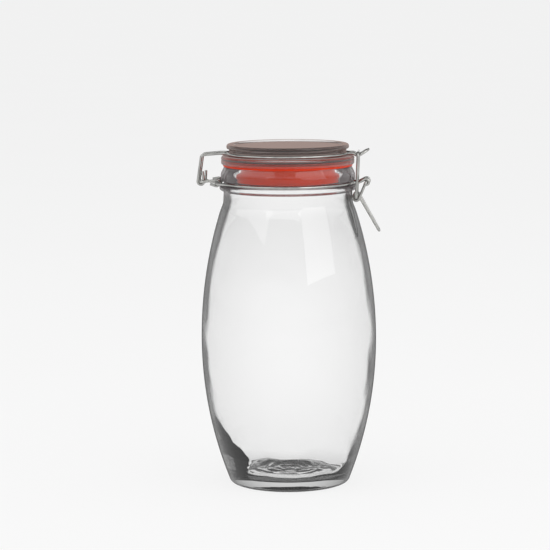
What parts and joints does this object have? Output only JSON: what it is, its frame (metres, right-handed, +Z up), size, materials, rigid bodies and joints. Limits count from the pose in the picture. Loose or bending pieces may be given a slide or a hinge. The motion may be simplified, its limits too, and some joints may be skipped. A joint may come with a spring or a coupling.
{
  "type": "clip-top storage jar",
  "caption": "Barrel-shaped clear glass storage jar with a glass lid on a wire hinge, an orange rubber gasket and a wire toggle clasp, shown empty and shut.",
  "frame": {"origin": "centre of the ring that the jar stands on, on the jar's axis", "axes": "+Z up along the jar's axis, +X towards the clasp, -X towards the hinge, -Y towards the front as pictured"},
  "size_m": [0.1378, 0.132, 0.2572],
  "materials": {
    "glass": "clear, moulded, glossy",
    "gasket": "smooth, semi-matte",
    "wire": "drawn wire, bright"
  },
  "bodies": {
    "jar": {"jar": "glass", "neck_wire": "wire", "hinge_loop": "wire"},
    "lid": {"lid": "glass", "gasket": "gasket", "lid_wire": "wire"},
    "lever": {"lever": "wire"},
    "bail": {"bail": "wire"}
  },
  "joints": [
    {"name": "lid_hinge", "type": "hinge", "parent": "jar", "child": "lid", "pos_m": [-0.065, 0, 0.2293], "axis": [0, -1, 0], "range_deg": [0, 228]},
    {"name": "lever_pivot", "type": "hinge", "parent": "jar", "child": "lever", "pos_m": [0.0589, 0, 0.2289], "axis": [0, -1, 0], "range_deg": [0, 120]},
    {"name": "bail_pivot", "type": "hinge", "parent": "lever", "child": "bail", "pos_m": [0.0516, 0, 0.2174], "axis": [0, -1, 0], "range_deg": [-295, 0]}
  ],
  "couplings": [
    {"joint": "bail_pivot", "follows": "lever_pivot", "ratio": -2.456}
  ]
}
